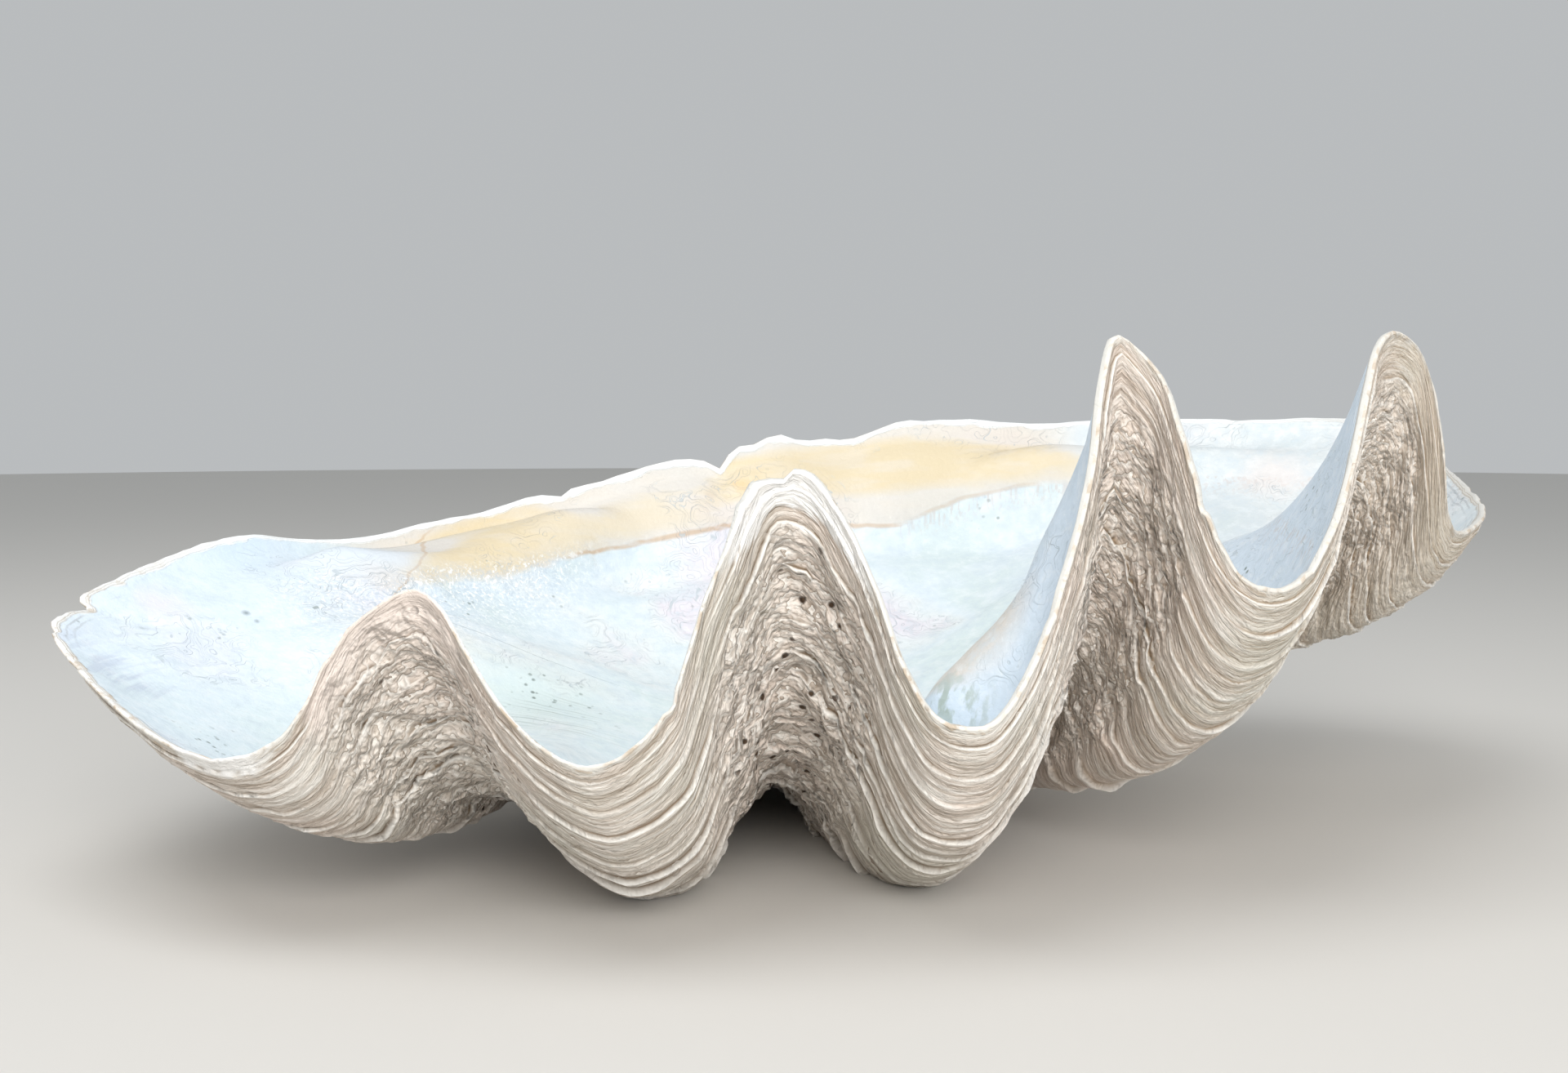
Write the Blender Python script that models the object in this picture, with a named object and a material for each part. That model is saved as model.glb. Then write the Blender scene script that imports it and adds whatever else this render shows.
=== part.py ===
"""One valve of a giant clam, lying on its back with the open side up.

The shell is one solid between an outer and an inner surface. Both start at the rim, a closed
line in space that rises at each groove and dips at each rib. The outer surface is a set of
growth lines, each an earlier rim, that shrink to the beak. The inner surface falls from the
lip to the floor of the bowl. Millimetres in the tables, metres in the model.
X runs along the hinge, -Y to the scalloped front, Z up from the ground.
"""
import bpy
import numpy as np

# The rim, from the notch at the hinge along the left back edge and round the front.
# Each point is (along the hinge, in front of the hinge as a negative value, height).
HINGE_LEFT = [
    (3, -3, 183), (-5, 1, 187), (-18, 2, 189), (-40, 2, 185), (-67, 0, 178), (-96, -1, 170),
    (-125, -5, 165), (-154, -10, 157), (-190, -21, 151), (-227, -38, 144), (-252, -53, 143),
    (-276, -70, 145), (-297, -88, 149), (-321, -111, 147), (-350, -147, 139), (-374, -184, 131),
    (-381, -197, 127), (-377, -201, 122), (-386, -216, 122), (-391, -238, 117),
]
LOBE_1 = [
    (-383, -262, 107), (-366, -307, 95), (-346, -341, 83), (-327, -364, 77), (-310, -380, 79),
    (-296, -389, 88), (-286, -393, 103), (-277, -394, 121), (-266, -398, 136), (-255, -403, 144),
]
RIB_2 = [
    (-246, -407, 147), (-238, -413, 141), (-229, -423, 123), (-217, -435, 102), (-203, -446, 88),
    (-186, -455, 81), (-168, -460, 89), (-154, -461, 103), (-145, -459, 123), (-137, -456, 145),
    (-128, -454, 164), (-120, -452, 182), (-114, -450, 192),
]
RIB_3 = [
    (-107, -451, 197), (-98, -455, 193), (-91, -458, 184), (-83, -464, 167), (-76, -471, 146),
    (-71, -478, 125), (-63, -484, 107), (-54, -488, 97), (-42, -491, 94), (-29, -491, 97),
    (-16, -489, 111), (-5, -486, 129), (6, -481, 152), (16, -476, 175), (25, -470, 201),
    (31, -464, 227),
]
RIB_4 = [
    (39, -459, 249), (46, -459, 245), (55, -462, 234), (60, -465, 217), (65, -471, 193),
    (71, -477, 171), (82, -480, 153), (98, -480, 143), (118, -476, 145), (134, -470, 155),
    (149, -462, 170), (161, -454, 187), (174, -444, 208), (187, -433, 230), (202, -420, 249),
]
LOBE_5 = [
    (219, -408, 256), (235, -399, 254), (248, -393, 244), (255, -391, 226), (260, -390, 204),
    (264, -389, 184), (270, -386, 169), (279, -380, 161), (290, -371, 156), (310, -356, 155),
    (336, -334, 157), (361, -310, 160), (380, -285, 166), (398, -250, 174),
]
HINGE_RIGHT = [
    (411, -217, 183), (413, -188, 197), (403, -158, 211), (380, -127, 214), (352, -100, 213),
    (314, -68, 214), (260, -39, 213), (222, -25, 211), (181, -13, 214), (138, -4, 213),
    (119, -2, 209), (98, -1, 202), (75, 0, 201), (44, 1, 204), (32, 1, 199), (18, 1, 197),
    (10, 0, 191),
]
RIM = HINGE_LEFT + LOBE_1 + RIB_2 + RIB_3 + RIB_4 + LOBE_5 + HINGE_RIGHT

BEAK = (35, 16, 146)            # where the growth lines start, behind and below the hinge
BOWL = (0, -190, 46)            # the deepest point of the inside
DOWN = (0.14, 0.06, -1)         # square to the plane of the rim, which leans left and forward
HINGE_DEPTH = 25                # least reach of a growth line, beside the hinge
SIDE_RISE = 0.4                 # share of the sag lost at HALF_LENGTH from the middle
HALF_LENGTH = 400
FOLD_WIDTH = 12                 # degrees about the bowl that level out the folds
HINGE_FOLD_WIDTH = 3            # the same at the hinge, where the rim is nearly plain
FOLDS_END = (70, 115)           # degrees about the bowl between the two
LEAST_TURN = 0.2                # degrees added to the turn that each rim point stands for
HINGE_WALL = (75, 120)          # degrees about the bowl over which the side turns to hinge wall
RIM_FADE = 4                    # how fast the rim's own shape dies out down the hinge wall
LIP_ROWS = 3                    # rows at the rim that keep their height as drawn
FLOOR_BLUR = 24                 # width over which heights of the floor are averaged
FLOOR_THICKNESS = 30            # least height of the inside above that mean

# Growth lines from the rim to the beak: (size as a share of the shell, shift forward, sag,
# share of the folds that is left). Shift and sag are shares of the reach from the beak.
GROWTH = [
    (1.000, 0.000, 0.000, 1.00), (0.982, -0.004, 0.060, 0.88), (0.958, -0.012, 0.118, 0.76),
    (0.925, -0.030, 0.174, 0.65), (0.880, -0.052, 0.222, 0.56), (0.820, -0.078, 0.258, 0.48),
    (0.740, -0.104, 0.282, 0.42), (0.640, -0.130, 0.298, 0.36), (0.530, -0.152, 0.302, 0.29),
    (0.420, -0.168, 0.294, 0.20), (0.310, -0.180, 0.262, 0.14), (0.210, -0.175, 0.205, 0.05),
    (0.120, -0.125, 0.112, 0.00),
]
# Ledges: old rims that stand out from the younger shell in front of them.
LEDGES = [0.947, 0.898, 0.845, 0.775]   # sizes of the shell at these rims
LEDGE_STEP = 3.5                        # how far each stands out
LEDGE_FADE = 0.025                      # size over which it dies out behind its edge
LEDGE_EDGE = 0.003                      # half the size over which it rises
# Inside, one row for each growth line from the rim inwards: (thickness of the shell, share of
# the folds that is left, share of the way from the hinge to the bowl, height left there).
INSIDE = [
    (7, 1.00, 0.000, 1.000), (9, 0.88, 0.036, 0.930), (12, 0.75, 0.080, 0.860),
    (16, 0.62, 0.140, 0.760), (20, 0.52, 0.205, 0.650), (26, 0.44, 0.270, 0.510),
    (33, 0.34, 0.370, 0.430), (39, 0.20, 0.480, 0.320),
]
# The floor of the bowl: (share of the way from the last row above to the bowl, share of the
# way from the hinge to the bowl, height left there).
FLOOR = [(0.30, 0.610, 0.215), (0.60, 0.760, 0.105), (0.85, 0.900, 0.025)]
LEVELLED = 6                    # rows inside the rim from which the floor is evened out
POINTS_PER_SPAN = 1             # mesh points for each point of the rim


def closed_curve(points, per_span):
    """A smooth closed curve through the points."""
    p = np.asarray(points, float)
    before, after, beyond = (np.roll(p, k, axis=0) for k in (1, -1, -2))
    rows = []
    for t in np.arange(per_span) / per_span:
        rows.append(0.5 * (2 * p + (after - before) * t
                           + (2 * before - 5 * p + 4 * after - beyond) * t ** 2
                           + (3 * p - before - 3 * after + beyond) * t ** 3))
    return np.stack(rows, axis=1).reshape(-1, 3)


def bearing(points):
    """Degrees about the bowl: 0 at the front, growing to the right, 180 at the hinge."""
    away = points - np.array(BOWL)
    return np.degrees(np.arctan2(away[:, 0], -away[:, 1]))


def plain_outline(rim):
    """The rim without its folds: a mean over neighbours about one fold wide."""
    turn = bearing(rim)
    gap = (turn[:, None] - turn[None, :] + 180) % 360 - 180
    step = np.abs((np.roll(turn, -1) - np.roll(turn, 1) + 180) % 360 - 180) + LEAST_TURN
    width = np.interp(np.abs(turn), FOLDS_END, (FOLD_WIDTH, HINGE_FOLD_WIDTH))
    weight = np.exp(-0.5 * (gap / width[:, None]) ** 2) * step[None, :]
    mean = weight @ rim / weight.sum(axis=1, keepdims=True)
    radius = np.hypot(mean[:, 0] - BOWL[0], mean[:, 1] - BOWL[1])
    around = np.radians(turn)
    return np.stack([BOWL[0] + radius * np.sin(around), BOWL[1] - radius * np.cos(around),
                     mean[:, 2]], axis=1)


def growth_line(rim, plain, size, shift, sag, folds):
    """The rim as it was when the shell had this share of its size."""
    beak = np.array(BEAK)
    forward = np.clip(beak[1] - plain[:, 1], 0, None)
    reach = np.hypot(forward * (1 - SIDE_RISE * (plain[:, 0] / HALF_LENGTH) ** 2), HINGE_DEPTH)
    ring = beak + (plain - beak) * size + (rim - plain) * folds
    ring[:, 1] -= reach * shift
    return ring + reach[:, None] * sag * np.array(DOWN)


def growth_rows():
    """The rows of GROWTH with two more at each ledge."""
    table = np.array(GROWTH)
    edges = [size + side * LEDGE_EDGE for size in LEDGES for side in (1, -1)]
    sizes = np.array(sorted([*table[:, 0], *edges], reverse=True))
    columns = [np.interp(sizes, table[::-1, 0], table[::-1, k]) for k in (1, 2, 3)]
    return np.stack([sizes, *columns], axis=1)


def ledge_height(size):
    """How far the outer surface stands out at this size of the shell."""
    behind = [old - size for old in LEDGES if size < old]
    return sum(LEDGE_STEP * np.exp(-gap / LEDGE_FADE) for gap in behind)


def unit(vectors):
    return vectors / np.linalg.norm(vectors, axis=-1, keepdims=True)


def inward(rings):
    """Directions square to the surface through the rings, pointing into the bowl."""
    along = np.roll(rings, -1, axis=1) - np.roll(rings, 1, axis=1)
    return unit(np.cross(along, np.gradient(rings, axis=0)))


def hinge_wall(rim, plain, way, height):
    """A ring on the way straight from the rim to the bowl."""
    ring = plain + (np.array(BOWL) - plain) * way
    ring[:, 2] = BOWL[2] + (plain[:, 2] - BOWL[2]) * height
    return ring + (rim - plain) * (1 - way) ** RIM_FADE


def mean_height(points, around):
    """Mean height of the points around each place, as seen from above."""
    gap = ((points[:, None, :2] - around[None, :, :2]) ** 2).sum(axis=2)
    weight = np.exp(-0.5 * gap / FLOOR_BLUR ** 2) + 1e-12
    return weight @ around[:, 2] / weight.sum(axis=1)


def inner_rings(rim, plain, outer):
    """Rings from the lip to the bowl."""
    turn = np.abs(bearing(rim))[:, None]
    side, back = HINGE_WALL
    at_hinge = np.clip((turn - side) / (back - side), 0, 1)
    at_hinge = at_hinge ** 2 * (3 - 2 * at_hinge)
    lines = [growth_line(rim, plain, *line[:3], row[1]) for line, row in zip(GROWTH, INSIDE)]
    unfolded = [growth_line(rim, plain, *line[:3], 0) for line in GROWTH[:len(INSIDE)]]
    lines, unfolded = np.array(lines), np.array(unfolded)
    thickness = np.array([row[0] for row in INSIDE])[:, None, None]
    level = np.linspace(0, 1, len(INSIDE))[:, None, None]
    square = unit(inward(lines) * (1 - level) + inward(unfolded) * level)
    walls = list(lines + square * thickness)
    for share, _, _ in FLOOR:
        walls.append(walls[len(INSIDE) - 1] * (1 - share) + np.array(BOWL) * share)
    hinges = [hinge_wall(rim, plain, *row[-2:]) for row in INSIDE + FLOOR]
    below = np.vstack(outer[LIP_ROWS:])
    rings = walls[:1]
    for k in range(1, len(walls)):
        if k >= LIP_ROWS:
            least = mean_height(hinges[k], below) + FLOOR_THICKNESS
            hinges[k][:, 2] = np.maximum(hinges[k][:, 2], least)
        rings.append(walls[k] * (1 - at_hinge) + hinges[k] * at_hinge)
    inside = np.vstack(rings[LIP_ROWS:])
    for ring in rings[LEVELLED:]:
        ring[:, 2] = mean_height(ring, inside)
    return rings


def shell_points():
    """The rings in order from the beak over the rim to the bowl, and the two end points."""
    rim = closed_curve(RIM, POINTS_PER_SPAN)
    plain = plain_outline(rim)
    rows = growth_rows()
    outer = np.array([growth_line(rim, plain, *row) for row in rows])
    inner = inner_rings(rim, plain, outer)
    heights = np.array([ledge_height(row[0]) for row in rows])
    outer -= inward(outer) * heights[:, None, None]
    outer[:, :, 2] = np.clip(outer[:, :, 2], 0, None)
    return [*outer[::-1], *inner], np.array(BEAK, float), np.array(BOWL, float)


def build_shell(name):
    rings, first, last = shell_points()
    around = len(rings[0])
    points = np.vstack([first[None], *rings, last[None]]) / 1000
    low, high = points.min(axis=0), points.max(axis=0)
    points -= [(low[0] + high[0]) / 2, (low[1] + high[1]) / 2, low[2]]
    faces = []
    for i in range(around):
        j = (i + 1) % around
        faces.append((0, 1 + j, 1 + i))
        for r in range(len(rings) - 1):
            a, b = 1 + r * around, 1 + (r + 1) * around
            faces.append((a + j, b + j, b + i, a + i))
        last_ring = 1 + (len(rings) - 1) * around
        faces.append((last_ring + j, len(points) - 1, last_ring + i))
    mesh = bpy.data.meshes.new(name)
    mesh.from_pydata(points.tolist(), [], faces)
    mesh.validate()
    shell = bpy.data.objects.new(name, mesh)
    bpy.context.collection.objects.link(shell)
    return shell


def shell_material():
    material = bpy.data.materials.new("shell")
    material.use_nodes = True
    surface = material.node_tree.nodes["Principled BSDF"]
    surface.inputs["Base Color"].default_value = (0.78, 0.73, 0.66, 1)
    surface.inputs["Roughness"].default_value = 0.6
    surface.inputs["Metallic"].default_value = 0
    return material


for old in list(bpy.data.objects):
    bpy.data.objects.remove(old)
half_shell = build_shell("half_shell")
half_shell.data.materials.append(shell_material())
half_shell.data.shade_smooth()
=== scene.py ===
# %% [markdown]
# # A giant clam half shell
# One valve of a giant clam lies on its back with the open side up. The animal built it in
# thin layers: each year's rim became a growth line on the outside, while the inside was kept
# smooth and white. This lesson grows the surface in the same way, from the rim backwards,
# and then weathers it.

# %% Load the fixed frame
import math

import bpy
import numpy as np
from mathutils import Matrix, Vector, noise


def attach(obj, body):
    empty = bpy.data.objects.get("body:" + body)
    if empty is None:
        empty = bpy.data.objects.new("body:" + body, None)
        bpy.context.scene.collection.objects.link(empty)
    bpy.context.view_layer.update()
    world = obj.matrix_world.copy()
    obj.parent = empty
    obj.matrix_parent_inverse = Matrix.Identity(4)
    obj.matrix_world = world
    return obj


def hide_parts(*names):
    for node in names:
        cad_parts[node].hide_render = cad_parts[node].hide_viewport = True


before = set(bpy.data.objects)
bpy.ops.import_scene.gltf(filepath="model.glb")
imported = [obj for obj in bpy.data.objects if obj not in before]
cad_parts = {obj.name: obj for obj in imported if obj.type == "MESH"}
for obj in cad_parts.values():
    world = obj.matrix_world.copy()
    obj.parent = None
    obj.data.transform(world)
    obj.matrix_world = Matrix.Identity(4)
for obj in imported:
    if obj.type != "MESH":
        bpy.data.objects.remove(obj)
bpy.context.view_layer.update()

# %% [markdown]
# ## The rim
# The rim is a closed line in space. It dips where a rib runs out to the edge and rises to a
# peak where a groove does, and along the back it is the nearly straight hinge. A few dozen
# points hold it, in millimetres from the middle of the hinge, because a curve through them
# gives every other point.

# %% The rim's points
HINGE_LEFT = [
    (3, -3, 183), (-5, 1, 187), (-18, 2, 189), (-40, 2, 185), (-67, 0, 178), (-96, -1, 170),
    (-125, -5, 165), (-154, -10, 157), (-190, -21, 151), (-227, -38, 144), (-252, -53, 143),
    (-276, -70, 145), (-297, -88, 149), (-321, -111, 147), (-350, -147, 139), (-374, -184, 131),
    (-381, -197, 127), (-377, -201, 122), (-386, -216, 122), (-391, -238, 117),
]
LOBE_1 = [
    (-383, -262, 107), (-366, -307, 95), (-346, -341, 83), (-327, -364, 77), (-310, -380, 79),
    (-296, -389, 88), (-286, -393, 103), (-277, -394, 121), (-266, -398, 136), (-255, -403, 144),
]
RIB_2 = [
    (-246, -407, 147), (-238, -413, 141), (-229, -423, 123), (-217, -435, 102), (-203, -446, 88),
    (-186, -455, 81), (-168, -460, 89), (-154, -461, 103), (-145, -459, 123), (-137, -456, 145),
    (-128, -454, 164), (-120, -452, 182), (-114, -450, 192),
]
RIB_3 = [
    (-107, -451, 197), (-98, -455, 193), (-91, -458, 184), (-83, -464, 167), (-76, -471, 146),
    (-71, -478, 125), (-63, -484, 107), (-54, -488, 97), (-42, -491, 94), (-29, -491, 97),
    (-16, -489, 111), (-5, -486, 129), (6, -481, 152), (16, -476, 175), (25, -470, 201),
    (31, -464, 227),
]
RIB_4 = [
    (39, -459, 249), (46, -459, 245), (55, -462, 234), (60, -465, 217), (65, -471, 193),
    (71, -477, 171), (82, -480, 153), (98, -480, 143), (118, -476, 145), (134, -470, 155),
    (149, -462, 170), (161, -454, 187), (174, -444, 208), (187, -433, 230), (202, -420, 249),
]
LOBE_5 = [
    (219, -408, 256), (235, -399, 254), (248, -393, 244), (255, -391, 226), (260, -390, 204),
    (264, -389, 184), (270, -386, 169), (279, -380, 161), (290, -371, 156), (310, -356, 155),
    (336, -334, 157), (361, -310, 160), (380, -285, 166), (398, -250, 174),
]
HINGE_RIGHT = [
    (411, -217, 183), (413, -188, 197), (403, -158, 211), (380, -127, 214), (352, -100, 213),
    (314, -68, 214), (260, -39, 213), (222, -25, 211), (181, -13, 214), (138, -4, 213),
    (119, -2, 209), (98, -1, 202), (75, 0, 201), (44, 1, 204), (32, 1, 199), (18, 1, 197),
    (10, 0, 191),
]
RIM = np.array(HINGE_LEFT + LOBE_1 + RIB_2 + RIB_3 + RIB_4 + LOBE_5 + HINGE_RIGHT, float)
FRAME_SHIFT = np.array([11, -234.57563, 0])  # from the hinge to the middle of the object
BEAK = np.array([35, 16, 146.0])  # where the growth lines start
BOWL = np.array([0, -190, 46.0])  # the deepest point of the inside
DOWN = np.array([0.14, 0.06, -1])  # square to the leaning plane of the rim
print("rim points:", len(RIM))

# %% [markdown]
# ## The rim without its folds
# The shell's folds are strong at the rim and nearly gone at the beak. To fade them, the
# lesson needs the same rim with no folds: a mean of each point's neighbours, about one fold
# wide, as seen from the bowl.

# %% The plain outline
FOLD_WIDTH = 12                 # degrees about the bowl that level out the folds
HINGE_FOLD_WIDTH = 3            # the same at the hinge, where the rim is nearly plain
FOLDS_END = (70, 115)  # degrees about the bowl between the two
LEAST_TURN = 0.2                # degrees added to the turn that each rim point stands for


def bearing(points):
    """Degrees about the bowl: 0 at the front, growing to the right, 180 at the hinge."""
    away = points - BOWL
    return np.degrees(np.arctan2(away[:, 0], -away[:, 1]))


def plain_outline(rim):
    turn = bearing(rim)
    gap = (turn[:, None] - turn[None, :] + 180) % 360 - 180
    step = np.abs((np.roll(turn, -1) - np.roll(turn, 1) + 180) % 360 - 180) + LEAST_TURN
    width = np.interp(np.abs(turn), FOLDS_END, (FOLD_WIDTH, HINGE_FOLD_WIDTH))
    weight = np.exp(-0.5 * (gap / width[:, None]) ** 2) * step[None, :]
    mean = weight @ rim / weight.sum(axis=1, keepdims=True)
    radius = np.hypot(mean[:, 0] - BOWL[0], mean[:, 1] - BOWL[1])
    around = np.radians(turn)
    return np.stack([BOWL[0] + radius * np.sin(around), BOWL[1] - radius * np.cos(around),
                     mean[:, 2]], axis=1)


PLAIN = plain_outline(RIM)
print("deepest fold, mm:", round(float(np.abs(RIM - PLAIN).max())))

# %% [markdown]
# ## Growth lines
# Each older rim is a smaller copy of the rim, moved forward and down, with less of its folds.
# A short table holds that history, and the outer surface is the stack of these lines.

# %% The outer growth lines
HINGE_DEPTH = 25                # least reach of a growth line, beside the hinge
SIDE_RISE = 0.4                 # share of the sag lost at HALF_LENGTH from the middle
HALF_LENGTH = 400
GROWTH = [  # size, shift forward, sag, share of the folds that is left
    (1.000, 0.000, 0.000, 1.00), (0.982, -0.004, 0.060, 0.88), (0.958, -0.012, 0.118, 0.76),
    (0.925, -0.030, 0.174, 0.65), (0.880, -0.052, 0.222, 0.56), (0.820, -0.078, 0.258, 0.48),
    (0.740, -0.104, 0.282, 0.42), (0.640, -0.130, 0.298, 0.36), (0.530, -0.152, 0.302, 0.29),
    (0.420, -0.168, 0.294, 0.20), (0.310, -0.180, 0.262, 0.14), (0.210, -0.175, 0.205, 0.05),
    (0.120, -0.125, 0.112, 0.00),
]


def growth_line(size, shift, sag, folds):
    """The rim as it was when the shell had this share of its size."""
    forward = np.clip(BEAK[1] - PLAIN[:, 1], 0, None)
    reach = np.hypot(forward * (1 - SIDE_RISE * (PLAIN[:, 0] / HALF_LENGTH) ** 2), HINGE_DEPTH)
    ring = BEAK + (PLAIN - BEAK) * size + (RIM - PLAIN) * folds
    ring[:, 1] -= reach * shift
    return ring + reach[:, None] * sag * DOWN


OUTER = np.array([growth_line(*row) for row in GROWTH])
print("growth lines:", len(OUTER))

# %% [markdown]
# ## The inside
# The lining follows the outside at the thickness of the shell along the front and the sides.
# At the hinge it falls away as a wall of its own. The floor of the bowl is evened out, as the
# animal did by adding layer over layer.

# %% The inner rings
HINGE_WALL = (75, 120)  # degrees about the bowl over which the side turns to hinge wall
RIM_FADE = 4                    # how fast the rim's own shape dies out down the hinge wall
LIP_ROWS = 3                    # rows at the rim that keep their height as drawn
FLOOR_BLUR = 24                 # width over which heights of the floor are averaged
FLOOR_THICKNESS = 30            # least height of the inside above that mean
LEVELLED = 6                    # rows inside the rim from which the floor is evened out
INSIDE = [  # thickness, folds left, way to the bowl and height at the hinge
    (7, 1.00, 0.000, 1.000), (9, 0.88, 0.036, 0.930), (12, 0.75, 0.080, 0.860),
    (16, 0.62, 0.140, 0.760), (20, 0.52, 0.205, 0.650), (26, 0.44, 0.270, 0.510),
    (33, 0.34, 0.370, 0.430), (39, 0.20, 0.480, 0.320),
]
FLOOR = [(0.30, 0.610, 0.215), (0.60, 0.760, 0.105), (0.85, 0.900, 0.025)]
LEDGES = [0.947, 0.898, 0.845, 0.775]  # sizes of the shell at the rims that stand out
LEDGE_EDGE = 0.003                      # half the size over which such a rim rises


def unit(vectors):
    return vectors / np.linalg.norm(vectors, axis=-1, keepdims=True)


def inward(rings):
    """Directions square to the surface through the rings, pointing into the bowl."""
    along = np.roll(rings, -1, axis=1) - np.roll(rings, 1, axis=1)
    return unit(np.cross(along, np.gradient(rings, axis=0)))


def hinge_wall(way, height):
    ring = PLAIN + (BOWL - PLAIN) * way
    ring[:, 2] = BOWL[2] + (PLAIN[:, 2] - BOWL[2]) * height
    return ring + (RIM - PLAIN) * (1 - way) ** RIM_FADE


def mean_height(points, around):
    """Mean height of the points around each place, as seen from above."""
    gap = ((points[:, None, :2] - around[None, :, :2]) ** 2).sum(axis=2)
    weight = np.exp(-0.5 * gap / FLOOR_BLUR ** 2) + 1e-12
    return weight @ around[:, 2] / weight.sum(axis=1)


def underside():
    """The growth lines with two more at each ledge, as points that the floor stays above."""
    table = np.array(GROWTH)
    edges = [size + side * LEDGE_EDGE for size in LEDGES for side in (1, -1)]
    sizes = np.array(sorted([*table[:, 0], *edges], reverse=True))
    columns = [np.interp(sizes, table[::-1, 0], table[::-1, k]) for k in (1, 2, 3)]
    rows = np.stack([sizes, *columns], axis=1)[LIP_ROWS:]
    return np.vstack([growth_line(*row) for row in rows])


def inner_rings():
    turn = np.abs(bearing(RIM))[:, None]
    side, back = HINGE_WALL
    at_hinge = np.clip((turn - side) / (back - side), 0, 1)
    at_hinge = at_hinge ** 2 * (3 - 2 * at_hinge)
    lines = np.array([growth_line(*line[:3], row[1]) for line, row in zip(GROWTH, INSIDE)])
    unfolded = np.array([growth_line(*line[:3], 0) for line in GROWTH[:len(INSIDE)]])
    thickness = np.array([row[0] for row in INSIDE])[:, None, None]
    level = np.linspace(0, 1, len(INSIDE))[:, None, None]
    square = unit(inward(lines) * (1 - level) + inward(unfolded) * level)
    walls = list(lines + square * thickness)
    for share, _, _ in FLOOR:
        walls.append(walls[len(INSIDE) - 1] * (1 - share) + BOWL * share)
    hinges = [hinge_wall(*row[-2:]) for row in INSIDE + FLOOR]
    below = underside()
    rings = walls[:1]
    for k in range(1, len(walls)):
        if k >= LIP_ROWS:
            least = mean_height(hinges[k], below) + FLOOR_THICKNESS
            hinges[k][:, 2] = np.maximum(hinges[k][:, 2], least)
        rings.append(walls[k] * (1 - at_hinge) + hinges[k] * at_hinge)
    inside = np.vstack(rings[LIP_ROWS:])
    for ring in rings[LEVELLED:]:
        ring[:, 2] = mean_height(ring, inside)
    return np.array(rings)


INNER = inner_rings()
print("inner rings:", len(INNER))

# %% [markdown]
# ## Columns round the rim
# The coarse lines are joined by smooth curves, which can be read at any place. The columns
# stand about 4 mm apart along the folded front and wider along the plain hinge, so that the
# triangles go where the shell has its detail.

# %% Smooth curves through the lines
AROUND = 540                    # columns round the rim
BACK_SHARE = 0.38               # how densely columns stand along the plain hinge
FINE_STEPS = 24                 # readings between two growth lines, to measure along a column
INNER_ROWS = [2, 2, 4, 4, 3, 3, 2, 2, 2, 1, 1]  # new rows for each inner ring


def read_curve(values, at, closed):
    """The smooth curve through rows of values, read at these fractional rows."""
    count = len(values)
    low = np.floor(at).astype(int)
    t = (at - low).reshape(-1, *[1] * (values.ndim - 1))
    wrap = (lambda k: k % count) if closed else (lambda k: np.clip(k, 0, count - 1))
    before, start, end, beyond = (values[wrap(low + k)] for k in (-1, 0, 1, 2))
    return 0.5 * (2 * start + (end - before) * t
                  + (2 * before - 5 * start + 4 * end - beyond) * t ** 2
                  + (3 * start - before - 3 * end + beyond) * t ** 3)


def even_places():
    """Fractional rim points, spaced by length and wider along the hinge."""
    fine = np.linspace(0, len(RIM), 40 * len(RIM) + 1)
    line = read_curve(RIM, fine, True)
    length = np.linalg.norm(np.diff(line, axis=0), axis=1)
    length *= np.interp(np.abs(bearing(line[:-1])), (90, 125), (1, BACK_SHARE))
    total = np.concatenate([[0], np.cumsum(length)])
    return np.interp(np.arange(AROUND) / AROUND * total[-1], total, fine)


def refined(rings, pole, rows_at):
    """The rings and the pole they close on, with new rows and columns."""
    stack = np.concatenate([rings, np.broadcast_to(pole, (1, len(RIM), 3))])
    rows = read_curve(stack, rows_at, False)
    return read_curve(rows.transpose(1, 0, 2), columns, True).transpose(1, 0, 2)


def way_along(rows):
    """Millimetres along each column, from the first row."""
    steps = np.linalg.norm(np.diff(rows, axis=0), axis=2)
    return np.concatenate([np.zeros((1, AROUND)), np.cumsum(steps, axis=0)])


columns = even_places()
rim_line = read_curve(RIM, columns, True)
plain_line = read_curve(PLAIN, columns, True)
smooth_outside = refined(OUTER, BEAK, np.arange(len(OUTER) * FINE_STEPS + 1) / FINE_STEPS)
inner_places = np.concatenate([k + np.arange(n) / n for k, n in enumerate(INNER_ROWS)])
inside = refined(INNER, BOWL, inner_places)
way = way_along(smooth_outside)
print("columns:", AROUND, "longest way from rim to beak, mm:", round(float(way[-1].max())))

# %% [markdown]
# ## Layers on the outside
# Old layers stand out a little over the younger one in front of them, like shingles with
# their edges towards the rim. Most are thin, about 3 mm wide near the rim and wider on older
# shell. Every few years growth paused, and a thick layer stands out as a ledge. Rows of the
# mesh lie exactly on each layer's edge, so that the steps stay crisp with few triangles.


# %% Noise of a real size
def bumps(points, size, seed):
    """Noise from -1 to 1 whose bumps are about this many millimetres wide."""
    scaled = (points.reshape(-1, 3) / size + seed * np.array([7.3, 3.1, 5.7])).tolist()
    return np.array([noise.noise(p) for p in scaled]).reshape(points.shape[:-1])


def bump_sum(points, table):
    """Noises on top of each other, each with its height, the width of its bumps and its seed."""
    return sum(high * bumps(points, size, seed) for high, size, seed in table)


def ease(value, start, end):
    """0 before start, 1 after end, and a smooth rise between."""
    t = np.clip((value - start) / (end - start), 0, 1)
    return t * t * (3 - 2 * t)


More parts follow.
